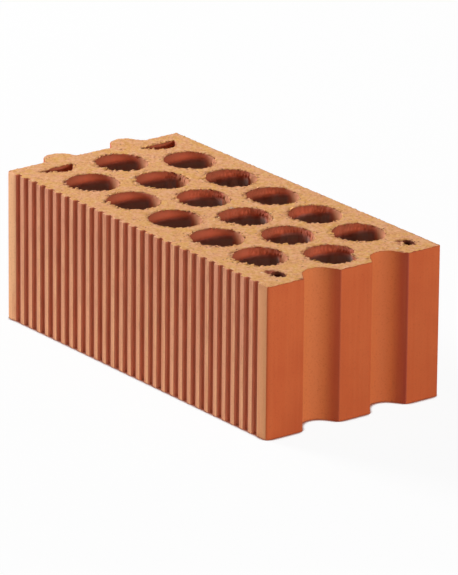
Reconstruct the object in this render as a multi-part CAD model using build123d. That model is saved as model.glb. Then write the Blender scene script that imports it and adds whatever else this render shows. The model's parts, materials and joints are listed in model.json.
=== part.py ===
from build123d import *
import os
from math import cos, floor, radians, sin, tan

# Perforated clay brick with tongue and groove ends, in millimetres.
# A column of clay is pushed through a die and cut to height with wires, so the brick is one prism:
# the die gives the plan, and the wires give the flat bed and top faces.
# +X runs along the course, from the tongues to the grooves.
# +Y runs through the wall, from the fluted face to the plain face.
# +Z runs up from the bed face, and the origin is the middle of the bed, tongues not counted.

# Body of the brick
body_length = 285.0
body_width = 140.0
body_height = 103.5
corner_radius = 1.5

# Flutes that key plaster to the face at -Y, a little nearer the tongues than the grooves
flute_pitch = 9.28
flute_mouth = 4.5
flute_floor = 3.5
flute_depth = 2.4
flute_end_land = 9.5
flute_shift = -0.3

# Round holes in three staggered rows, a little nearer the grooves than the tongues
hole_diameter = 34.5
hole_web = 11.0
hole_face_wall = 11.55
hole_end_wall = 9.0
hole_shift = 0.9

# Grooves in the end at +X, and the tongues at -X that enter the grooves of the next brick
groove_mouth = 29.5
groove_depth = 13.5
groove_spacing = 55.0
flank_angle = 60.0
groove_lip_radius = 1.0
tongue_clearance = 1.25
tongue_foot_radius = 3.5

# Half-moon slots between the tongues and the holes
slot_length = 26.5
slot_width = 8.5
slot_face_wall = 13.05
slot_end_wall = 13.5
slot_tip_radius = 0.8

# Small holes in the corners beside the grooves
corner_hole_diameter = 8.8
corner_hole_face_wall = 11.9
corner_hole_end_wall = 12.6

# The rows, grooves and tongues are centred on the wall that is left behind the flutes,
# and the slots and small holes lie a little nearer the plain face.
wall_width = body_width - flute_depth
wall_axis = flute_depth / 2
end_core_shift = 1.3


def fitted_count(room, size, pitch):
    """How many copies of a size fit in a room at a pitch."""
    return floor((room - size) / pitch) + 1


def interlock(mouth, depth):
    """Plan of a groove or tongue with its mouth on x = 0: straight flanks that meet a round nose at -X."""
    flank = radians(flank_angle)
    half_mouth = mouth / 2
    nose_radius = (half_mouth - depth / tan(flank)) / tan(flank / 2)
    tangent_x = nose_radius * (1 - cos(flank)) - depth
    tangent_y = nose_radius * sin(flank)
    with BuildSketch() as profile:
        with BuildLine():
            Line((0, half_mouth), (tangent_x, tangent_y))
            ThreePointArc((tangent_x, tangent_y), (-depth, 0), (tangent_x, -tangent_y))
            Polyline((tangent_x, -tangent_y), (0, -half_mouth), (0, half_mouth))
        make_face()
    return profile.sketch


def flute_profile():
    """Plan of a flute with its mouth on y = 0: a shallow trapezium that narrows towards its floor."""
    return Polygon(
        (-flute_mouth / 2, 0),
        (flute_mouth / 2, 0),
        (flute_floor / 2, flute_depth),
        (-flute_floor / 2, flute_depth),
        align=None,
    )


def half_moon():
    """Plan of a slot with its straight side on x = 0 and its bow towards +X."""
    with BuildSketch() as profile:
        with BuildLine():
            ThreePointArc((0, -slot_length / 2), (slot_width, 0), (0, slot_length / 2))
            Line((0, slot_length / 2), (0, -slot_length / 2))
        make_face()
        fillet(profile.vertices(), slot_tip_radius)
    return profile.sketch


def column_outline():
    """Outline of the clay column, with its tongues, grooves, rounded corners and flutes."""
    tongue_mouth = groove_mouth - 2 * tongue_clearance / sin(radians(flank_angle))
    groove = interlock(groove_mouth, groove_depth)
    tongue = interlock(tongue_mouth, groove_depth - tongue_clearance)
    flute = flute_profile()
    flute_count = fitted_count(body_length - 2 * flute_end_land, flute_mouth, flute_pitch)

    with BuildSketch() as outline:
        Rectangle(body_length, body_width)
        with Locations((body_length / 2, wall_axis)):
            with GridLocations(0, groove_spacing, 1, 2):
                add(groove, mode=Mode.SUBTRACT)
        with Locations((-body_length / 2, wall_axis)):
            with GridLocations(0, groove_spacing, 1, 2):
                add(tongue)

        # Along each end lie two brick corners, with the edges of the grooves or tongues between them.
        groove_end = outline.vertices().group_by(Axis.X)[-1].sort_by(Axis.Y)
        fillet(groove_end[1:-1], groove_lip_radius)
        tongue_end = outline.vertices().group_by(Axis.X)[1].sort_by(Axis.Y)
        fillet(tongue_end[1:-1], tongue_foot_radius)
        corners = outline.vertices().group_by(Axis.Y)
        fillet(corners[0] + corners[-1], corner_radius)

        with Locations((flute_shift, -body_width / 2)):
            with GridLocations(flute_pitch, 0, flute_count, 1):
                add(flute, mode=Mode.SUBTRACT)
    return outline.sketch


def core_openings():
    """Everything that the cores in the die keep open: the rows of holes, the slots and the small holes."""
    hole_pitch = hole_diameter + hole_web
    row_spacing = wall_width / 2 - hole_face_wall - hole_diameter / 2
    middle_count = fitted_count(body_length - 2 * hole_end_wall, hole_diameter, hole_pitch)

    slot = half_moon()
    slots_at = (slot_end_wall - body_length / 2, wall_axis + end_core_shift)
    slot_spacing = wall_width - 2 * slot_face_wall - slot_length

    corner_hole_inset = corner_hole_end_wall + corner_hole_diameter / 2
    corner_holes_at = (body_length / 2 - corner_hole_inset, wall_axis + end_core_shift)
    corner_hole_spacing = wall_width - 2 * corner_hole_face_wall - corner_hole_diameter

    with BuildSketch() as openings:
        with Locations((hole_shift, wall_axis)):
            with GridLocations(hole_pitch, 0, middle_count, 1):
                Circle(hole_diameter / 2)
            with GridLocations(hole_pitch, 2 * row_spacing, middle_count - 1, 2):
                Circle(hole_diameter / 2)
        with Locations(slots_at):
            with GridLocations(0, slot_spacing, 1, 2):
                add(slot)
        with Locations(corner_holes_at):
            with GridLocations(0, corner_hole_spacing, 1, 2):
                Circle(corner_hole_diameter / 2)
    return openings.sketch


outline_of_column = column_outline()
openings_of_cores = core_openings()

with BuildPart() as brick:
    with BuildSketch():
        add(outline_of_column)
        add(openings_of_cores, mode=Mode.SUBTRACT)
    extrude(amount=body_height)

os.makedirs("parts", exist_ok=True)
export_step(brick.part, "parts/brick.step")
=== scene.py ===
# %% [markdown]
# A perforated clay brick, dressed for the camera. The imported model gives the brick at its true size, but
# as a clean prism with knife-sharp rims. A real one is pushed out of a die as a soft column, cut to
# height by wires, dried and fired. The die leaves smooth, slightly dragged sides, and the wires leave
# grainy faces with torn rims. This lesson keeps the size and adds those marks.

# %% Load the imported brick
import json
from math import cos, pi, radians, sin

import bmesh
import bpy
import numpy as np
from mathutils import Matrix, Vector, noise
from mathutils.kdtree import KDTree

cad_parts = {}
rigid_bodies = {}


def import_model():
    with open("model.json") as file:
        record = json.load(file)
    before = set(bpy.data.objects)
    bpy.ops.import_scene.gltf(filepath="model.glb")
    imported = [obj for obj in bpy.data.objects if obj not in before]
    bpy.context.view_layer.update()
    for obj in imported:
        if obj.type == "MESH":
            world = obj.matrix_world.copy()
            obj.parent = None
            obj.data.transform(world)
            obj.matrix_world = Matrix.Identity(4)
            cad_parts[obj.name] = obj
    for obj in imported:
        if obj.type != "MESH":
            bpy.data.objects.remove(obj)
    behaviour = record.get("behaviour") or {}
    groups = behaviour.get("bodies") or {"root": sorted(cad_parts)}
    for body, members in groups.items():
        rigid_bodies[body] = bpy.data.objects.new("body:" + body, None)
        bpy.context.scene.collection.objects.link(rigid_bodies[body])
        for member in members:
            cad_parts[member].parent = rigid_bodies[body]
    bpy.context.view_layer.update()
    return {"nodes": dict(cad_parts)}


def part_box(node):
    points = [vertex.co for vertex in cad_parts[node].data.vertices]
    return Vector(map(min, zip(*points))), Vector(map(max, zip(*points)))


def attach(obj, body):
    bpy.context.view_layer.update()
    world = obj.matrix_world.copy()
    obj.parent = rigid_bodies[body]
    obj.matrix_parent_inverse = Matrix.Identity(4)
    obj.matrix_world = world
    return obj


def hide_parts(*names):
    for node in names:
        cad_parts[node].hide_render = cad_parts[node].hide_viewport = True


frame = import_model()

mm = 0.001
low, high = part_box("brick")
print("brick of the packed model, in mm:", [round(side / mm, 2) for side in high - low])

# %% [markdown]
# The camera stands where the picture was taken from: about four metres away, with a long lens, so that
# the edges of the brick stay nearly parallel. It is aimed with two turns and a slight roll, and then slid
# sideways and up until the brick sits in the frame. A camera could also be aimed with a constraint, but
# numbers are repeatable.

# %% Camera
camera_azimuth = 52.702
camera_elevation = 19.580
camera_roll = 0.552
camera_distance = 4160.7 * mm
camera_slide_right = 6.364 * mm
camera_slide_up = 45.065 * mm
camera_lens = 395.05
camera_reach = 50.0

camera_turn = (
    Matrix.Rotation(radians(camera_azimuth), 3, "Z")
    @ Matrix.Rotation(radians(90 - camera_elevation), 3, "X")
    @ Matrix.Rotation(radians(camera_roll), 3, "Z")
)
camera_place = camera_turn @ Vector((camera_slide_right, camera_slide_up, camera_distance))
bpy.ops.object.camera_add(location=camera_place, rotation=camera_turn.to_euler())
camera = bpy.context.object
camera.name = "camera"
camera.data.lens = camera_lens
camera.data.clip_end = camera_reach
bpy.context.scene.camera = camera
bpy.context.scene.view_settings.view_transform = "Standard"
print("camera stands at, in m:", [round(value, 3) for value in camera_place])

# %% [markdown]
# Four small helpers serve every material of the lesson. One turns a colour given as an sRGB hex value
# into the linear numbers that shaders work with. One adds a node, sets it up and links it in one call,
# so that a material reads from top to bottom like a recipe. The last two give a pattern its scale from
# its size in millimetres, alike all round or drawn out upright, as the die draws the clay.

# %% Helpers for materials
def linear(hex_colour):
    """Linear RGBA of an sRGB hex colour."""
    channels = [int(hex_colour[place:place + 2], 16) / 255 for place in (1, 3, 5)]
    return [c / 12.92 if c <= 0.04045 else ((c + 0.055) / 1.055) ** 2.4 for c in channels] + [1.0]


def add_node(tree, kind, inputs=(), **settings):
    """Adds a node with its settings. An input is a value, or a node or output socket to link to it."""
    made = tree.nodes.new(kind)
    for name, value in settings.items():
        setattr(made, name, value)
    for key, value in dict(inputs).items():
        if isinstance(key, int):
            socket = made.inputs[key]
        else:
            socket = next(s for s in made.inputs if s.name == key and s.enabled)
        if isinstance(value, bpy.types.Node):
            value = next(s for s in value.outputs if s.enabled)
        if isinstance(value, bpy.types.NodeSocket):
            tree.links.new(value, socket)
        else:
            socket.default_value = value
    return made


def per_mm(size):
    """Texture scale at which one feature of a pattern is this many millimetres wide."""
    return 1 / (size * mm)


def drawn_out(width, length):
    """Mapping scale of a pattern whose features are this many millimetres wide, and this many tall."""
    return per_mm(width), per_mm(width), per_mm(length)


print("fired clay, linear:", [round(value, 3) for value in linear("#C56036")[:3]])

# %% [markdown]
# The brick stands on a white studio floor. Floor and world show white to the camera and to reflections,
# and the floor keeps a part of its real shading, so that the shadow of the brick stays. Right at the foot
# of the brick, where ambient occlusion finds clay close by, the glow is painted the dark brown of the clay,
# a painted contact shadow with the tint of light bounced from the clay, so that the brick sits firmly.
# Everything else sees a dimmer world, which lights the brick softly from all round.

# %% Floor and world
floor_size = 9.0
floor_gap = 0.1 * mm
floor_glow_share = 0.94
contact_reach = 7.0 * mm
floor_white = "#F2F2F2"
full_white = "#FFFFFF"
# Dark clay-brown of the painted contact shadow on the floor at the brick's foot
painted_contact_shade = "#8C4630"
world_light = 0.06

bpy.ops.object.select_all(action="DESELECT")
bpy.ops.mesh.primitive_plane_add(size=floor_size, location=(0, 0, low.z - floor_gap))
floor = bpy.context.object
floor.name = "studio_floor"

floor_paint = bpy.data.materials.new("white_studio_floor")
floor_paint.use_nodes = True
world = bpy.data.worlds.new("white_studio")
world.use_nodes = True
bpy.context.scene.world = world


def seen_share(tree, share):
    """Node that gives this share to camera, mirror and glass rays, and nothing to the rest."""
    rays = add_node(tree, "ShaderNodeLightPath")
    mirrored = add_node(
        tree, "ShaderNodeMath",
        {0: rays.outputs["Is Camera Ray"], 1: rays.outputs["Is Glossy Ray"]}, operation="ADD",
    )
    seen = add_node(
        tree, "ShaderNodeMath",
        {0: mirrored, 1: rays.outputs["Is Transmission Ray"]}, operation="ADD", use_clamp=True,
    )
    return add_node(tree, "ShaderNodeMath", {0: seen, 1: share}, operation="MULTIPLY")


tree = floor_paint.node_tree
tree.nodes.clear()
paint = add_node(tree, "ShaderNodeBsdfDiffuse", {"Color": linear(floor_white)})
# Painted contact shadow: where clay stands within contact reach, the floor's glow turns from white to the
# dark clay-brown tint
open_sky = add_node(tree, "ShaderNodeAmbientOcclusion", {"Distance": contact_reach}).outputs["AO"]
clear = add_node(tree, "ShaderNodeMapRange", {"Value": open_sky, "From Min": 0.55, "From Max": 0.7})
glow_tint = add_node(
    tree, "ShaderNodeMix",
    {"Factor": clear, "A": linear(painted_contact_shade), "B": linear(full_white)}, data_type="RGBA",
)
glow = add_node(tree, "ShaderNodeEmission", {"Color": glow_tint, "Strength": 1.0})
mixed = add_node(tree, "ShaderNodeMixShader", {0: seen_share(tree, floor_glow_share), 1: paint, 2: glow})
add_node(tree, "ShaderNodeOutputMaterial", {"Surface": mixed})
floor.data.materials.append(floor_paint)

tree = world.node_tree
tree.nodes.clear()
fill = add_node(tree, "ShaderNodeBackground", {"Color": linear(full_white), "Strength": world_light})
white = add_node(tree, "ShaderNodeBackground", {"Color": linear(full_white), "Strength": 1.0})
mixed = add_node(tree, "ShaderNodeMixShader", {0: seen_share(tree, 1.0), 1: fill, 2: white})
add_node(tree, "ShaderNodeOutputWorld", {"Surface": mixed})
print("floor and world are white to the camera; the world lights at", world_light)

# %% [markdown]
# Two soft boxes light the brick from the sides. The left one stands a little behind the fluted face and
# skims it, so that the ribs shine and the flutes between them stay dark, and it rakes the grain of the
# top. The right one is low and faces the grooved end, and its light slips under the near rims to the far
# walls of the holes. A weak one behind keeps the back from going black. Area lamps are used because their
# shadows have soft edges.

# %% Soft boxes
lamp_distance = 3.5


def add_soft_box(name, azimuth, elevation, width, height, light):
    """Lamp aimed at the brick. A white card that faces it shows about this share of white."""
    away = Vector((
        sin(radians(azimuth)) * cos(radians(elevation)),
        -cos(radians(azimuth)) * cos(radians(elevation)),
        sin(radians(elevation)),
    ))
    aim = (low + high) / 2
    bpy.ops.object.light_add(
        type="AREA", location=aim + away * lamp_distance, rotation=away.to_track_quat("Z", "Y").to_euler()
    )
    lamp = bpy.context.object
    lamp.name = name
    lamp.data.shape = "RECTANGLE"
    lamp.data.size = width
    lamp.data.size_y = height
    lamp.data.energy = light * (pi * lamp_distance) ** 2
    print(name, "gives", round(lamp.data.energy, 1), "W")


add_soft_box("left_soft_box", azimuth=-72, elevation=25, width=1.2, height=1.75, light=1.55)
add_soft_box("right_soft_box", azimuth=90, elevation=10.5, width=2.4, height=0.3, light=0.66)
add_soft_box("back_soft_box", azimuth=140, elevation=18, width=1.2, height=0.8, light=0.15)

# %% [markdown]
# The cut faces are torn clay. A wire drags grains along, so the face is dull and granular, drier and
# paler than the die faces, with mottles of straw, orange and pink, and small dark pits where grains came
# out. Where a rim broke away after the cut, the redder clay behind the dry face shows, and that is read
# from an attribute of the mesh.

# %% Wire-cut clay
mottle_size = 20.0
cloud_size = 3.5
sand_size = 1.9
pit_spacing = 2.6
pit_group_size = 7.0
rim_pit_share = 0.25
sand_relief = 0.5 * mm

wire_cut = bpy.data.materials.new("wire_cut_fired_clay")
wire_cut.use_nodes = True
tree = wire_cut.node_tree
tree.nodes.clear()
place = add_node(tree, "ShaderNodeTexCoord").outputs["Object"]

# Mottles of a few centimetres, and clouds of a few millimetres, in the tints of the dry face
mottle = add_node(
    tree, "ShaderNodeTexNoise", {"Vector": place, "Scale": per_mm(mottle_size), "Detail": 3.0}
)
mottle = add_node(tree, "ShaderNodeMapRange", {"Value": mottle, "From Min": 0.4, "From Max": 0.6})
cloud = add_node(
    tree, "ShaderNodeTexNoise", {"Vector": place, "Scale": per_mm(cloud_size), "Detail": 4.0}
)
cloud = add_node(
    tree, "ShaderNodeMapRange", {"Value": cloud, "From Min": 0.42, "From Max": 0.62, "To Max": 0.75}
)
colour = add_node(
    tree, "ShaderNodeMix",
    {"Factor": mottle, "A": linear("#EAAC5E"), "B": linear("#EAA86A")}, data_type="RGBA",
)
colour = add_node(
    tree, "ShaderNodeMix", {"Factor": cloud, "A": colour, "B": linear("#F3AE86")}, data_type="RGBA"
)

# Grains of sand and grog, lighter and darker than the clay, drawn a little coarser than they are so
# that they show
grain = add_node(
    tree, "ShaderNodeTexNoise",
    {"Vector": place, "Scale": per_mm(sand_size), "Detail": 3.0, "Roughness": 0.75},
)
dark_grain = add_node(
    tree, "ShaderNodeMapRange", {"Value": grain, "From Min": 0.49, "From Max": 0.3, "To Max": 0.65}
)
light_grain = add_node(
    tree, "ShaderNodeMapRange", {"Value": grain, "From Min": 0.53, "From Max": 0.72, "To Max": 0.8}
)
colour = add_node(
    tree, "ShaderNodeMix", {"Factor": dark_grain, "A": colour, "B": linear("#B26730")}, data_type="RGBA"
)
colour = add_node(
    tree, "ShaderNodeMix", {"Factor": light_grain, "A": colour, "B": linear("#F4D19C")}, data_type="RGBA"
)

# Pits that lost their grain, in loose groups and along the rims of the holes
pit = add_node(tree, "ShaderNodeTexVoronoi", {"Vector": place, "Scale": per_mm(pit_spacing)})
pit = add_node(tree, "ShaderNodeMapRange", {"Value": pit, "From Min": 0.3, "From Max": 0.14})
group = add_node(tree, "ShaderNodeTexNoise", {"Vector": place, "Scale": per_mm(pit_group_size)})
rim = add_node(tree, "ShaderNodeAttribute", attribute_name="rim").outputs["Fac"]
group = add_node(tree, "ShaderNodeMath", {0: rim, 1: rim_pit_share, 2: group}, operation="MULTIPLY_ADD")
group = add_node(tree, "ShaderNodeMapRange", {"Value": group, "From Min": 0.58, "From Max": 0.66})
pit = add_node(tree, "ShaderNodeMath", {0: pit, 1: group}, operation="MULTIPLY")
colour = add_node(
    tree, "ShaderNodeMix", {"Factor": pit, "A": colour, "B": linear("#86441F")}, data_type="RGBA"
)

# Fresh clay where the face broke away, and pale crumbs that stuck to it
broken = add_node(tree, "ShaderNodeAttribute", attribute_name="broken").outputs["Fac"]
colour = add_node(
    tree, "ShaderNodeMix", {"Factor": broken, "A": colour, "B": linear("#9C492B")}, data_type="RGBA"
)
crumb = add_node(tree, "ShaderNodeAttribute", attribute_name="crumb").outputs["Fac"]
colour = add_node(
    tree, "ShaderNodeMix", {"Factor": crumb, "A": colour, "B": linear("#FFE3CC")}, data_type="RGBA"
)

height = add_node(tree, "ShaderNodeMath", {0: grain, 1: pit}, operation="SUBTRACT")
relief = add_node(tree, "ShaderNodeBump", {"Height": height, "Strength": 0.6, "Distance": sand_relief})
clay = add_node(
    tree, "ShaderNodeBsdfPrincipled",
    {"Base Color": colour, "Roughness": 0.85, "Specular IOR Level": 0.3, "Normal": relief},
)
add_node(tree, "ShaderNodeOutputMaterial", {"Surface": clay})
print("wire_cut_fired_clay has", len(tree.nodes), "nodes")

# %% [markdown]
# The die presses and smooths the sides of the column, and the clay skin that slides along the steel comes
# out dense, even and orange-red, with faint vertical drag streaks. The streaks are noise that is squeezed
# sideways: a few millimetres wide and many centimetres tall. Deep in the grooves the skin is paler and
# yellower, partly its own tone and partly painted light on the groove floor where it turns from the right
# lamp. Their flanks that look to the fluted face are painted darker and redder towards the mouth, a painted
# shade that stands in for a rounder groove. Two attributes of the mesh say where.

# %% Die-smoothed clay
blush_size = 40.0
die_streak_width = 2.5
die_streak_length = 70.0
die_grain_size = 1.2
die_relief = 0.3 * mm

die_smoothed = bpy.data.materials.new("die_smoothed_fired_clay")
die_smoothed.use_nodes = True
tree = die_smoothed.node_tree
tree.nodes.clear()
place = add_node(tree, "ShaderNodeTexCoord").outputs["Object"]
blush = add_node(
    tree, "ShaderNodeTexNoise", {"Vector": place, "Scale": per_mm(blush_size), "Detail": 3.0}
)
blush = add_node(tree, "ShaderNodeMapRange", {"Value": blush, "From Min": 0.35, "From Max": 0.65})
colour = add_node(
    tree, "ShaderNodeMix",
    {"Factor": blush, "A": linear("#B14E24"), "B": linear("#B95629")}, data_type="RGBA",
)
# Paler deep in the grooves: partly the skin's own tone, partly painted light on the groove floor
groove = add_node(tree, "ShaderNodeAttribute", attribute_name="groove").outputs["Fac"]
groove = add_node(tree, "ShaderNodeMapRange", {"Value": groove, "From Min": 0.45, "From Max": 1.0})
colour = add_node(
    tree, "ShaderNodeMix", {"Factor": groove, "A": colour, "B": linear("#C66F3D")}, data_type="RGBA"
)
# Painted shade: the flanks that look to the fluted face turn darker and redder towards the mouth
painted_flank_shade = add_node(tree, "ShaderNodeAttribute", attribute_name="painted_flank_shade").outputs["Fac"]
colour = add_node(
    tree, "ShaderNodeMix", {"Factor": painted_flank_shade, "A": colour, "B": linear("#A0432E")}, data_type="RGBA"
)
drawn = add_node(
    tree, "ShaderNodeMapping", {"Vector": place, "Scale": drawn_out(die_streak_width, die_streak_length)}
)
streak = add_node(tree, "ShaderNodeTexNoise", {"Vector": drawn, "Scale": 1.0, "Detail": 3.0})
streak = add_node(
    tree, "ShaderNodeMapRange", {"Value": streak, "From Min": 0.4, "From Max": 0.75, "To Max": 0.25}
)
colour = add_node(
    tree, "ShaderNodeMix", {"Factor": streak, "A": colour, "B": linear("#C06838")}, data_type="RGBA"
)
grain = add_node(
    tree, "ShaderNodeTexNoise", {"Vector": place, "Scale": per_mm(die_grain_size), "Detail": 2.0}
)
speck = add_node(
    tree, "ShaderNodeMapRange", {"Value": grain, "From Min": 0.45, "From Max": 0.2, "To Max": 0.4}
)
colour = add_node(
    tree, "ShaderNodeMix", {"Factor": speck, "A": colour, "B": linear("#923E1E")}, data_type="RGBA"
)
relief = add_node(tree, "ShaderNodeBump", {"Height": grain, "Strength": 0.15, "Distance": die_relief})
clay = add_node(
    tree, "ShaderNodeBsdfPrincipled",
    {"Base Color": colour, "Roughness": 0.7, "Specular IOR Level": 0.22, "Normal": relief},
)
add_node(tree, "ShaderNodeOutputMaterial", {"Surface": clay})
print("die_smoothed_fired_clay has", len(tree.nodes), "nodes")

# %% [markdown]
# The fronts of the ribs are drier still. They are rubbed by the die's edge and by handling, and lime in
# the clay comes to the surface there, so they fire to a pale pinkish tan that shifts from rib to rib and
# is palest near the bed. The side of each rib towards the tongues is painted darker and redder, as painted
# shade, and the flat lands at both ends of the face are more tan than pink.

# %% Dry rib clay
rib_pitch = 9.28
rib_tint_length = 70.0
blot_width = 7.0
blot_length = 16.0
rib_streak_width = 1.6
rib_streak_length = 45.0
rib_grain_size = 1.4
rib_relief = 0.4 * mm
pale_from = 75.0 * mm
land_from_share = 1.2

dry_rib = bpy.data.materials.new("dry_dragged_rib_clay")
dry_rib.use_nodes = True
tree = dry_rib.node_tree
tree.nodes.clear()
place = add_node(tree, "ShaderNodeTexCoord").outputs["Object"]
rib_by_rib = add_node(
    tree, "ShaderNodeMapping",
    {"Vector": place, "Scale": (per_mm(rib_pitch), 0, per_mm(rib_tint_length))},
)
tint = add_node(tree, "ShaderNodeTexNoise", {"Vector": rib_by_rib, "Scale": 1.0, "Detail": 2.0})
tint = add_node(tree, "ShaderNodeMapRange", {"Value": tint, "From Min": 0.42, "From Max": 0.58})
colour = add_node(
    tree, "ShaderNodeMix",
    {"Factor": tint, "A": linear("#E69874"), "B": linear("#EDA97A")}, data_type="RGBA",
)
blot = add_node(
    tree, "ShaderNodeMapping", {"Vector": place, "Scale": drawn_out(blot_width, blot_length)}
)
blot = add_node(tree, "ShaderNodeTexNoise", {"Vector": blot, "Scale": 1.0, "Detail": 3.0})
blot = add_node(
    tree, "ShaderNodeMapRange", {"Value": blot, "From Min": 0.5, "From Max": 0.3, "To Max": 0.85}
)
colour = add_node(
    tree, "ShaderNodeMix", {"Factor": blot, "A": colour, "B": linear("#C47C58")}, data_type="RGBA"
)
split = add_node(tree, "ShaderNodeSeparateXYZ", {"Vector": place})
near_bed = add_node(
    tree, "ShaderNodeMapRange",
    {"Value": split.outputs["Z"], "From Min": pale_from, "From Max": low.z, "To Max": 0.75},
)
colour = add_node(
    tree, "ShaderNodeMix", {"Factor": near_bed, "A": colour, "B": linear("#F9B985")}, data_type="RGBA"
)

# One ramp across each rib. At a scale of 1 the wave texture repeats every 2 pi / 20.
wave_length = 2 * pi / 20
across = add_node(
    tree, "ShaderNodeTexWave",
    {"Vector": place, "Scale": wave_length * per_mm(rib_pitch)}, wave_profile="SAW",
)
# Painted shade: the side of each rib towards the tongues is darker and redder
painted_shade_side = add_node(
    tree, "ShaderNodeMapRange", {"Value": across, "From Min": 0.6, "From Max": 0.28, "To Max": 0.9}
)
colour = add_node(
    tree, "ShaderNodeMix", {"Factor": painted_shade_side, "A": colour, "B": linear("#C07A58")}, data_type="RGBA"
)

# The lands at both ends of the face, paler by the tongues than by the grooves
along = split.outputs["X"]
from_middle = add_node(tree, "ShaderNodeMath", {0: along}, operation="ABSOLUTE")
land = add_node(
    tree, "ShaderNodeMapRange",
    {
        "Value": from_middle,
        "From Min": high.x - land_from_share * rib_pitch * mm,
        "From Max": high.x - rib_pitch * mm,
    },
)
groove_side = add_node(
    tree, "ShaderNodeMapRange", {"Value": along, "From Min": -high.x, "From Max": high.x}
)
land_tint = add_node(
    tree, "ShaderNodeMix",
    {"Factor": groove_side, "A": linear("#EEB07E"), "B": linear("#CB8856")}, data_type="RGBA",
)
colour = add_node(
    tree, "ShaderNodeMix", {"Factor": land, "A": colour, "B": land_tint}, data_type="RGBA"
)

# Drag streaks and grains
drawn = add_node(
    tree, "ShaderNodeMapping", {"Vector": place, "Scale": drawn_out(rib_streak_width, rib_streak_length)}
)
streak = add_node(tree, "ShaderNodeTexNoise", {"Vector": drawn, "Scale": 1.0, "Detail": 3.0})
streak = add_node(
    tree, "ShaderNodeMapRange", {"Value": streak, "From Min": 0.5, "From Max": 0.25, "To Max": 0.75}
)
colour = add_node(
    tree, "ShaderNodeMix", {"Factor": streak, "A": colour, "B": linear("#C87348")}, data_type="RGBA"
)
grain = add_node(
    tree, "ShaderNodeTexNoise", {"Vector": place, "Scale": per_mm(rib_grain_size), "Detail": 3.0}
)
speck = add_node(
    tree, "ShaderNodeMapRange", {"Value": grain, "From Min": 0.46, "From Max": 0.25, "To Max": 0.4}
)
colour = add_node(
    tree, "ShaderNodeMix", {"Factor": speck, "A": colour, "B": linear("#B0683F")}, data_type="RGBA"
)
relief = add_node(tree, "ShaderNodeBump", {"Height": grain, "Strength": 0.3, "Distance": rib_relief})
clay = add_node(
    tree, "ShaderNodeBsdfPrincipled",
    {"Base Color": colour, "Roughness": 0.7, "Specular IOR Level": 0.4, "Normal": relief},
)
add_node(tree, "ShaderNodeOutputMaterial", {"Surface": clay})
print("dry_dragged_rib_clay has", len(tree.nodes), "nodes")

# %% [markdown]
# The flutes and the walls of the holes are die faces too, but nothing rubs them. They keep the deep
# red-brown of the damp skin and its slight shine, which turns pale where light skims along a wall, and
# the same upright streaks. Inside the holes the skin is painted greyer a little way down, as the colour of
# painted shade, and the grey slants along the edge of the lamp light. The walls that face the left lamp get
# a painted pale sheen, and those across from them are painted darker brown as painted shade. The two small
# holes by the grooves are painted dark and dull all round, as painted shade.

# %% Clay of the flutes and the hole walls
wall_blush_size = 18.0
wall_streak_width = 1.8
wall_streak_length = 60.0
wall_grain_size = 1.3
wall_relief = 0.3 * mm
grey_from = 4.2 * mm
grey_full = 7.7 * mm
grey_slant = 3.0 * mm
grey_aside = 0.45
# Depth and tint of the darker band under the rims: partly torn fringe, partly painted shade
lip_depth = 3.0 * mm
rim_fringe_shade_tint = linear("#8C4220")
# Tints of painted shade, of the grey colour of painted shade deep in the holes, and of painted sheen
hole_painted_shade_tint = linear("#8E4224")
grey_tint = linear("#AC897D")
hole_painted_sheen_tint = linear("#B87248")


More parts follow.
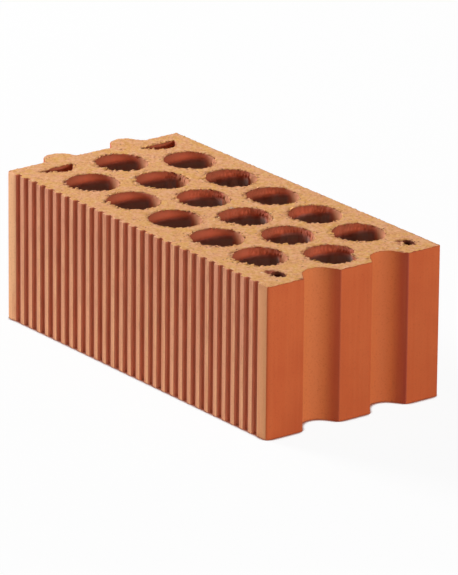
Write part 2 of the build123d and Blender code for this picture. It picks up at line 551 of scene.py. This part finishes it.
def unrubbed_clay(name, deep, pale, streak_tint, streak_share, shine=0.5, in_hole=False):
    """Smooth skin of clay that nothing has rubbed, between a deep and a pale tint, with upright streaks."""
    material = bpy.data.materials.new(name)
    material.use_nodes = True
    tree = material.node_tree
    tree.nodes.clear()
    place = add_node(tree, "ShaderNodeTexCoord").outputs["Object"]
    blush = add_node(
        tree, "ShaderNodeTexNoise", {"Vector": place, "Scale": per_mm(wall_blush_size), "Detail": 3.0}
    )
    blush = add_node(tree, "ShaderNodeMapRange", {"Value": blush, "From Min": 0.35, "From Max": 0.65})
    colour = add_node(tree, "ShaderNodeMix", {"Factor": blush, "A": deep, "B": pale}, data_type="RGBA")
    drawn = add_node(
        tree, "ShaderNodeMapping",
        {"Vector": place, "Scale": drawn_out(wall_streak_width, wall_streak_length)},
    )
    streak = add_node(tree, "ShaderNodeTexNoise", {"Vector": drawn, "Scale": 1.0, "Detail": 3.0})
    streak = add_node(
        tree, "ShaderNodeMapRange",
        {"Value": streak, "From Min": 0.45, "From Max": 0.75, "To Max": streak_share},
    )
    colour = add_node(
        tree, "ShaderNodeMix", {"Factor": streak, "A": colour, "B": streak_tint}, data_type="RGBA"
    )
    if in_hole:
        # Painted sheen on the walls that face the left lamp, and painted shade on those across from them
        facing = add_node(tree, "ShaderNodeAttribute", attribute_name="facing_painted_light").outputs["Fac"]
        hole_painted_shade = add_node(
            tree, "ShaderNodeMapRange",
            {"Value": facing, "From Min": -0.35, "From Max": -0.95, "To Max": 0.75},
        )
        hole_painted_sheen = add_node(tree, "ShaderNodeMapRange", {"Value": facing, "From Min": 0.5, "From Max": 0.74})
        # Painted shade colour: greyer deep in the holes, slanted along the edge of the lamp light
        level = add_node(tree, "ShaderNodeSeparateXYZ", {"Vector": place}).outputs["Z"]
        aside = add_node(tree, "ShaderNodeMath", {0: facing, 1: grey_aside}, operation="MINIMUM")
        slanted = add_node(
            tree, "ShaderNodeMath", {0: aside, 1: -grey_slant, 2: level}, operation="MULTIPLY_ADD"
        )
        inside = add_node(
            tree, "ShaderNodeMapRange",
            {"Value": slanted, "From Min": high.z - grey_from, "From Max": high.z - grey_full},
        )
        off_painted_sheen = add_node(tree, "ShaderNodeMapRange", {"Value": facing, "From Min": 0.6, "From Max": 0.42})
        inside = add_node(tree, "ShaderNodeMath", {0: inside, 1: off_painted_sheen}, operation="MULTIPLY")
        # Darker band under the rim: partly torn fringe, partly painted shade
        rim_fringe_and_shade = add_node(
            tree, "ShaderNodeMapRange",
            {"Value": level, "From Min": high.z - lip_depth, "From Max": high.z, "To Max": 0.6},
        )
        layers = [(hole_painted_shade, hole_painted_shade_tint), (inside, grey_tint), (rim_fringe_and_shade, rim_fringe_shade_tint), (hole_painted_sheen, hole_painted_sheen_tint)]
        for share, tint in layers:
            colour = add_node(
                tree, "ShaderNodeMix", {"Factor": share, "A": colour, "B": tint}, data_type="RGBA"
            )
    grain = add_node(
        tree, "ShaderNodeTexNoise", {"Vector": place, "Scale": per_mm(wall_grain_size), "Detail": 2.0}
    )
    relief = add_node(tree, "ShaderNodeBump", {"Height": grain, "Strength": 0.2, "Distance": wall_relief})
    clay = add_node(
        tree, "ShaderNodeBsdfPrincipled",
        {"Base Color": colour, "Roughness": 0.8, "Specular IOR Level": shine, "Normal": relief},
    )
    add_node(tree, "ShaderNodeOutputMaterial", {"Surface": clay})
    print(name, "has", len(tree.nodes), "nodes")
    return material


flute_clay = unrubbed_clay(
    "flute_fired_clay", linear("#B56040"), linear("#C06846"), linear("#D08864"), streak_share=0.6
)
core_clay = unrubbed_clay(
    "core_smoothed_fired_clay", linear("#BC502C"), linear("#C45630"), linear("#C46238"),
    streak_share=0.25, in_hole=True,
)
# Dark clay of the small holes by the grooves: painted shade
pin_hole_shade_clay = unrubbed_clay(
    "pin_hole_painted_shade_clay", linear("#5E2C1C"), linear("#6A3220"), linear("#7A3E28"),
    streak_share=0.25, shine=0.1,
)

# %% [markdown]
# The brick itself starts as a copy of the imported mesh, so that every hole, groove and flute stays where
# it is. Its loose triangles are merged first, and flat faces are dissolved into single polygons, which
# leaves a light mesh that is easy to pick faces from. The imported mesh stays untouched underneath.

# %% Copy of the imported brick
merge_reach = 0.001 * mm
flat_angle = radians(1)

brick = bpy.data.objects.new("fired_brick", frame["nodes"]["brick"].data.copy())
bpy.context.scene.collection.objects.link(brick)
bpy.ops.object.select_all(action="DESELECT")
brick.select_set(True)
bpy.context.view_layer.objects.active = brick

bpy.ops.object.mode_set(mode="EDIT")
bpy.ops.mesh.select_all(action="SELECT")
bpy.ops.mesh.remove_doubles(threshold=merge_reach)
bpy.ops.mesh.dissolve_limited(angle_limit=flat_angle)
shape = bmesh.from_edit_mesh(brick.data)
print("merged brick:", len(shape.verts), "points,", len(shape.faces), "faces")

# %% [markdown]
# Each face now gets the finish that its making gave it. The faces are picked by place and normal: the cut
# faces look up or down, and with those hidden the walls fall apart into loops, one round the outside and
# one in each hole, so Select Linked tells the outside from the holes.

# %% Finish of each face
flute_depth = 2.4 * mm
near_face = 0.05 * mm
level_facing = 0.9
pin_strip = 28.0 * mm
finishes = [die_smoothed, wire_cut, dry_rib, flute_clay, core_clay, pin_hole_shade_clay]
brick.data.materials.clear()
for finish in finishes:
    brick.data.materials.append(finish)


def select_faces(wanted):
    """Selects the faces in view that are wanted, and no others."""
    bpy.ops.mesh.select_mode(type="FACE")
    bpy.ops.mesh.select_all(action="DESELECT")
    shape = bmesh.from_edit_mesh(brick.data)
    for face in shape.faces:
        if not face.hide and wanted(face):
            face.select_set(True)
    bmesh.update_edit_mesh(brick.data)


def give_finish(finish):
    """Gives the selected faces a finish, and says how many they are."""
    brick.active_material_index = finishes.index(finish)
    bpy.ops.object.material_slot_assign()
    shape = bmesh.from_edit_mesh(brick.data)
    print(sum(face.select for face in shape.faces), "faces of", finish.name)


def is_cut_face(face):
    """Whether a face looks up or down, as only the wire-cut ones do."""
    return abs(face.normal.z) > level_facing


bpy.ops.mesh.select_all(action="SELECT")
give_finish(die_smoothed)
select_faces(is_cut_face)
give_finish(wire_cut)
bpy.ops.mesh.hide(unselected=False)
select_faces(lambda face: face.calc_center_median().x > high.x - near_face)
bpy.ops.mesh.select_linked()
bpy.ops.mesh.hide(unselected=False)
bpy.ops.mesh.select_all(action="SELECT")
give_finish(core_clay)
# Painted shade: the walls of the two small holes by the grooves get the dark clay
select_faces(
    lambda face: face.calc_center_median().x > high.x - pin_strip
    and abs(face.calc_center_median().y) > high.y - pin_strip
)
give_finish(pin_hole_shade_clay)
bpy.ops.mesh.reveal(select=False)
select_faces(lambda face: face.normal.y < -level_facing and face.calc_center_median().y < low.y + near_face)
give_finish(dry_rib)
select_faces(
    lambda face: not is_cut_face(face)
    and low.y + near_face < face.calc_center_median().y < low.y + flute_depth + near_face
    and abs(face.calc_center_median().x) < high.x - flute_depth
)
give_finish(flute_clay)

# %% [markdown]
# No edge of soft clay is knife-sharp. The upright edges of ribs, flutes, grooves and tongues get a
# narrow bevel, picked as the edges that stand upright and turn by more than the facets of a round wall
# do. The edge of each rib that looks to the grooves is dragged rounder than the rest, and the skin of
# the flute reaches round it.

# %% Softened upright edges
soft_edge = 0.4 * mm
dragged_edge = 0.75 * mm
sharp_turn = radians(22)
sideways_facing = 0.5


def select_upright_edges(wanted):
    """Selects the sharp upright edges that are wanted, and no others."""
    bpy.ops.mesh.select_mode(type="EDGE")
    bpy.ops.mesh.select_all(action="DESELECT")
    shape = bmesh.from_edit_mesh(brick.data)
    for edge in shape.edges:
        start, end = (vertex.co for vertex in edge.verts)
        upright = abs(end.z - start.z) > (high.z - low.z) / 2
        if upright and edge.calc_face_angle(0) > sharp_turn and wanted(edge):
            edge.select_set(True)
    bmesh.update_edit_mesh(brick.data)
    print(sum(edge.select for edge in shape.edges), "upright edges picked")


def is_dragged_edge(edge):
    """Whether an edge lies between the front of a rib and the flute wall that looks to the grooves."""
    kinds = {face.material_index for face in edge.link_faces}
    to_grooves = max(face.normal.x for face in edge.link_faces) > sideways_facing
    return to_grooves and kinds == {finishes.index(dry_rib), finishes.index(flute_clay)}


select_upright_edges(lambda edge: not is_dragged_edge(edge))
bpy.ops.mesh.bevel(offset=soft_edge, segments=2, affect="EDGES", clamp_overlap=True)
select_upright_edges(is_dragged_edge)
bpy.ops.mesh.bevel(
    offset=dragged_edge, segments=3, affect="EDGES", clamp_overlap=True,
    material=finishes.index(flute_clay),
)

# %% [markdown]
# The outer rims of the top are rubbed round by handling, so they get a bevel too.

# %% Rubbed outer rims
rubbed_rim = 0.45 * mm

bpy.ops.mesh.select_all(action="DESELECT")
shape = bmesh.from_edit_mesh(brick.data)
for edge in shape.edges:
    kinds = {face.material_index for face in edge.link_faces}
    on_top = all(vertex.co.z > high.z - near_face for vertex in edge.verts)
    if on_top and kinds == {finishes.index(wire_cut), finishes.index(die_smoothed)}:
        edge.select_set(True)
bmesh.update_edit_mesh(brick.data)
print(sum(edge.select for edge in shape.edges), "rim edges rubbed round")
bpy.ops.mesh.bevel(
    offset=rubbed_rim, segments=2, affect="EDGES", clamp_overlap=False,
    material=finishes.index(die_smoothed),
)

# %% [markdown]
# Tearing needs points to move, and so far the cut faces are single polygons. Level slices lay rings
# round the walls, close together near the cuts. Then the band near each cut is sliced crosswise into a
# fine grid, with the rest of the walls hidden so that they stay light. The camera sees the top, so its
# grid is finer than the bed's.

# %% Grid near the cut faces
top_ring_depths = [0.5, 1.1, 2.0, 3.2, 5.0]
bed_ring_depths = [0.8, 2.0, 4.0]
top_grid = 0.8 * mm
bed_grid = 2.0 * mm
sliver = 0.08 * mm


def slice_view(place, direction):
    """Cuts every face in view along a plane."""
    bpy.ops.mesh.select_all(action="SELECT")
    bpy.ops.mesh.bisect(plane_co=place, plane_no=direction)


def slice_grid(spacing):
    """Cuts every face in view into a grid of upright planes."""
    for x in np.arange(low.x + spacing / 2, high.x, spacing):
        slice_view((x, 0, 0), (1, 0, 0))
    for y in np.arange(low.y + spacing / 2, high.y, spacing):
        slice_view((0, y, 0), (0, 1, 0))


for depth in top_ring_depths:
    slice_view((0, 0, high.z - depth * mm), (0, 0, 1))
for depth in bed_ring_depths:
    slice_view((0, 0, low.z + depth * mm), (0, 0, 1))

top_band = high.z - top_ring_depths[-2] * mm
bed_band = low.z + bed_ring_depths[-2] * mm
select_faces(lambda face: face.calc_center_median().z < top_band)
bpy.ops.mesh.hide(unselected=False)
slice_grid(top_grid)
bpy.ops.mesh.reveal(select=False)
select_faces(lambda face: face.calc_center_median().z > bed_band)
bpy.ops.mesh.hide(unselected=False)
slice_grid(bed_grid)
bpy.ops.mesh.reveal(select=False)

bpy.ops.mesh.select_all(action="SELECT")
bpy.ops.mesh.remove_doubles(threshold=sliver)
bpy.ops.mesh.quads_convert_to_tris(quad_method="BEAUTY", ngon_method="BEAUTY")
bpy.ops.object.mode_set(mode="OBJECT")
print("gridded brick:", len(brick.data.vertices), "points,", len(brick.data.polygons), "triangles")

# %% [markdown]
# How far a point may move depends on how near it lies to a rim. The rims are the points that a cut face
# shares with a wall, and a KD-tree finds the nearest one quickly. Rims of holes tear more than the outer
# edges, because the wire pulls the clay over an unsupported lip there.

# %% Nearness to the rims
def points_of(piece):
    """Places of all points of a mesh, one row each."""
    places = np.empty(len(piece.data.vertices) * 3)
    piece.data.vertices.foreach_get("co", places)
    return places.reshape(-1, 3)


def points_with_finish(*wanted):
    """Numbers of the points on faces with one of these finishes."""
    places = [finishes.index(finish) for finish in wanted]
    return {v for face in brick.data.polygons if face.material_index in places for v in face.vertices}


def tree_of(targets):
    """KD-tree of places, which finds the nearest of them quickly."""
    tree = KDTree(len(targets))
    for number, target in enumerate(targets):
        tree.insert(target, number)
    tree.balance()
    return tree


def nearest_of(places, targets):
    """Distance of each place to the nearest target, and the number of that target."""
    tree = tree_of(targets)
    found = [tree.find(place) for place in places]
    return np.array([hit[2] for hit in found]), np.array([hit[1] for hit in found])


rim_span = 4.0 * mm
places = points_of(brick)
first_normals = np.array([tuple(normal.vector) for normal in brick.data.vertex_normals])
cut_points = points_with_finish(wire_cut)
hole_rim = sorted(cut_points & points_with_finish(core_clay, pin_hole_shade_clay))
outer_rim = sorted(cut_points & points_with_finish(die_smoothed, dry_rib, flute_clay))
from_hole_rim, nearest_rim = nearest_of(places, places[hole_rim])
from_outer_rim, _ = nearest_of(places, places[outer_rim])

# The way from the middle of a hole to its nearest rim, level, for every point of the brick. Single
# normals of so fine a grid are unsteady, so each is the mean of those along a short span of the rim.
rim_tree = tree_of(places[hole_rim])
rim_ways = first_normals[hole_rim][:, :2]
rim_ways = np.array([
    rim_ways[[number for _, number, _ in rim_tree.find_range(place, rim_span)]].mean(axis=0)
    for place in places[hole_rim]
])
rim_ways /= -np.linalg.norm(rim_ways, axis=1, keepdims=True)
out_of_hole = rim_ways[nearest_rim]
print(len(hole_rim), "points on the rims of holes,", len(outer_rim), "on the outer edges")

# %% [markdown]
# Now the face is torn. Each mark is a Displace modifier with a cloud texture, held to its place by a
# vertex group and applied at once. Along the rims the points move along their normals, which lie halfway
# between the cut face and the wall there, so a dent breaks the rim back and a bump hangs over it as a
# burr. The wire ran from the tongues to the grooves: it broke clay out where it came into a hole, and cut
# clean where it went back into the clay. Two spots beside the small holes are torn as well.

# %% Torn rims and grit
wire_way = (1.0, 0.0)
calm_share = 0.45
patchy_mean = 0.95
patch_size = 9.0 * mm
hole_tear_reach = 1.5 * mm
wall_tear_reach = 0.45 * mm
outer_tear_reach = 0.8 * mm
outer_tear_share = 0.12
spot_tear_share = 0.35
torn_spots = {
    "by the near corner hole": ((118.5, -50.5), 4.0),
    "by the far corner hole": ((121.0, 53.5), 2.5),
}
least_weight = 0.01
cloud_steps = 2


def displace(name, weights, strength, middle, grain_size, contrast, direction="NORMAL"):
    """Moves the brick's points by a cloud texture, as far as their weights let them."""
    group = brick.vertex_groups.new(name=name)
    for number in np.nonzero(weights > least_weight)[0]:
        group.add([int(number)], float(weights[number]), "REPLACE")
    texture = bpy.data.textures.new(name, "CLOUDS")
    texture.noise_scale = grain_size * mm
    texture.noise_depth = cloud_steps
    texture.contrast = contrast
    modifier = brick.modifiers.new(name, "DISPLACE")
    modifier.texture = texture
    modifier.texture_coords = "LOCAL"
    modifier.vertex_group = name
    modifier.direction = direction
    modifier.strength = strength * mm
    modifier.mid_level = middle
    before = points_of(brick)
    bpy.ops.object.modifier_apply(modifier=name)
    brick.vertex_groups.remove(brick.vertex_groups[name])
    moved = np.linalg.norm(points_of(brick) - before, axis=1)
    print(name, "moved points by up to", round(moved.max() / mm, 2), "mm")


breakout = (1 - out_of_hole @ np.array(wire_way)) / 2
patchy = np.array([patchy_mean + noise.noise(Vector(place) / patch_size) for place in places])
tear_share = np.clip(patchy, 0, 1) * (calm_share + (1 - calm_share) * breakout)
on_cut = np.zeros(len(places))
on_cut[sorted(cut_points)] = 1.0
tear_reach = np.where(on_cut > 0, hole_tear_reach, wall_tear_reach)
hole_weights = tear_share * np.exp(-(from_hole_rim / tear_reach) ** 2)
outer_weights = outer_tear_share * np.exp(-(from_outer_rim / outer_tear_reach) ** 2)
rim_weights = np.maximum(hole_weights, outer_weights)
for spot, reach in torn_spots.values():
    away = np.linalg.norm(places[:, :2] / mm - spot, axis=1)
    on_top = places[:, 2] > high.z - near_face
    rim_weights = np.maximum(rim_weights, spot_tear_share * np.exp(-(away / reach) ** 4) * on_top)

displace("torn_rims", rim_weights, strength=4.0, middle=0.62, grain_size=2.4, contrast=2.0)
displace("crumbled_rims", rim_weights, strength=1.0, middle=0.6, grain_size=1.0, contrast=2.0)
displace("wire_grit", on_cut, strength=0.4, middle=0.6, grain_size=1.2, contrast=1.5, direction="Z")

# %% [markdown]
# Each hole has a lip on the fluted side, which the wire pushed over the opening. On the side of the
# grooves it is torn wider, and on the side where the wire came in the rim is broken back. A few larger
# marks are listed one by one, where they show on the real brick: lips that cover part of a hole, torn
# patches, and chips that broke off a corner. Each pulls the points near one place, as proportional
# editing would. A pull along the rims gives the side of the hole and its shift. Each larger mark gives
# its place in plan, its shift and its reach, all in millimetres, and how much of the fresh clay it bares.

# %% Smears and chips
rim_pulls = {
    "lips on the fluted side": ((0.35, -0.94), (0.0, 1.8)),
    "tears on the side of the grooves": ((0.85, 0.53), (1.9, 0.0)),
    "breaks where the wire came in": ((-0.8, 0.6), (-1.0, 0.75)),
}
pull_reach = 2.2 * mm
smears = {
    "lip over the last middle hole": ((125.0, 14.8), (-2.4, -3.2, -0.2), 5.0, 0.0),
    "lip over the near slot": ((-129.0, -49.0), (1.3, 0.0, -0.3), 3.0, 0.0),
    "torn patch by the near corner hole": ((119.0, -50.5), (0.3, 0.0, -0.3), 4.0, 1.1),
    "torn patch by the far corner hole": ((120.5, 53.0), (0.0, 0.0, -0.4), 2.4, 0.9),
    "chipped corner by the tongues": ((-141.5, -69.0), (0.1, 0.1, -0.4), 1.3, 0.2),
    "chipped mouth of the near groove": ((141.5, -42.0), (-0.6, -0.3, -0.8), 1.8, 0.6),
    "torn edge of the far groove": ((137.5, 41.0), (0.3, 0.3, -0.6), 1.8, 0.8),
    "crack behind the far groove": ((135.5, 15.5), (0.0, 0.0, -0.5), 1.1, 1.2),
}
crumbs = [(-105, -48), (-74, -37), (-82, -12), (-87, 25.5), (5.5, 4.8), (117.5, -56), (131.3, 43)]
smear_depth = 2.0
bare_from = 0.25
bare_full = 0.6
crumb_reach = 0.8
crumb_height = 0.5
burr_height = 0.9
pulled_share = 0.1

now = points_of(brick)
depth = np.abs(high.z - places[:, 2]) / mm
near_rim = np.exp(-(from_hole_rim / pull_reach) ** 2) * (places[:, 2] > top_band)
for name, (side, shift) in rim_pulls.items():
    share = near_rim * np.clip(out_of_hole @ np.array(side), 0, 1) ** 2
    now[:, :2] += share[:, None] * np.array(shift) * mm
    print(name, "pulled", int((share > pulled_share).sum()), "points")
fresh = np.zeros(len(places))
for name, (spot, shift, reach, bared) in smears.items():
    away = np.linalg.norm(places[:, :2] / mm - spot, axis=1)
    share = np.exp(-(away / reach) ** 2 - (depth / smear_depth) ** 2)
    now += share[:, None] * np.array(shift) * mm
    fresh = np.maximum(fresh, bared * np.clip((share - bare_from) / (bare_full - bare_from), 0, 1))
    print(name, "pulled", int((share > pulled_share).sum()), "points")
crumb = np.zeros(len(places))
for spot in crumbs:
    away = np.linalg.norm(places[:, :2] / mm - spot, axis=1)
    crumb = np.maximum(crumb, np.exp(-(away / crumb_reach) ** 2 - depth ** 2))
now[:, 2] += crumb * crumb_height * mm
now[:, 2] = np.clip(now[:, 2], low.z, high.z + burr_height * mm)
brick.data.vertices.foreach_set("co", now.ravel())
brick.data.update()

# %% [markdown]
# What broke away shows fresh clay. The depth of each point under the place where it started, measured
# along the normal it had there, becomes an attribute that the cut-face material reads, and so do the
# crumbs and the rims. More attributes tell the other materials how deep a point lies in a groove, how much
# painted shade the flanks there get, and which way a hole's wall faces, for the painted sheen and shade
# of the hole walls.

# %% Attributes for the materials
first_break = 0.25 * mm
full_break = 0.9 * mm
worn_reach = 3.0 * mm
# Way in plan from a hole's middle to its walls that get painted sheen; the walls across get painted shade
painted_light_way = (0.735, 0.678)
groove_fade = 7.5 * mm
groove_margin = 10.0 * mm
far_groove_share = 0.8
# Painted shade on the groove flanks, and where across each groove it ramps in, in millimetres
painted_shade_flanks = {"near groove": (-26.3, 0.65), "far groove": (28.7, 1.0)}
painted_shade_from = 9.5
painted_shade_full = 14.75
shown_break = 0.3
smooth_angle = radians(38)


def keep_attribute(name, values):
    """Stores one number for each point of the brick."""
    attribute = brick.data.attributes.new(name, "FLOAT", "POINT")
    attribute.data.foreach_set("value", values.astype(np.float32))


sunk = np.einsum("ij,ij->i", places - points_of(brick), first_normals)
broken = np.clip(np.maximum((sunk - first_break) / (full_break - first_break), fresh), 0, 1)
# How deep a point lies in a groove, for its paler tone and painted light
in_groove = np.zeros(len(places))
in_groove[sorted(points_with_finish(die_smoothed))] = 1.0
in_groove *= np.clip((high.x - places[:, 0]) / groove_fade, 0, 1)
in_groove *= np.abs(places[:, 1]) < high.y - groove_margin
in_groove[places[:, 0] < 0] = 0.0

# Each groove has its axis, in millimetres across the brick, and the share of painted shade on its flank.
painted_flank_shade = np.zeros(len(places))
for axis, share in painted_shade_flanks.values():
    past_axis = places[:, 1] / mm - axis
    ramp = np.clip((past_axis - painted_shade_from) / (painted_shade_full - painted_shade_from), 0, 1)
    painted_flank_shade = np.maximum(painted_flank_shade, share * ramp * (past_axis < 2 * painted_shade_full) * (in_groove > 0))
in_groove[places[:, 1] > 0] *= far_groove_share
keep_attribute("broken", broken)
keep_attribute("facing_painted_light", out_of_hole @ np.array(painted_light_way))
keep_attribute("groove", in_groove)
keep_attribute("painted_flank_shade", painted_flank_shade)
keep_attribute("rim", np.exp(-(from_hole_rim / worn_reach) ** 2))
keep_attribute("crumb", crumb)
bpy.ops.object.shade_smooth_by_angle(angle=smooth_angle)
print("broken points:", int((broken > shown_break).sum()))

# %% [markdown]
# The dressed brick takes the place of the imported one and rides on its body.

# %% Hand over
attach(brick, "root")
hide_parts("brick")
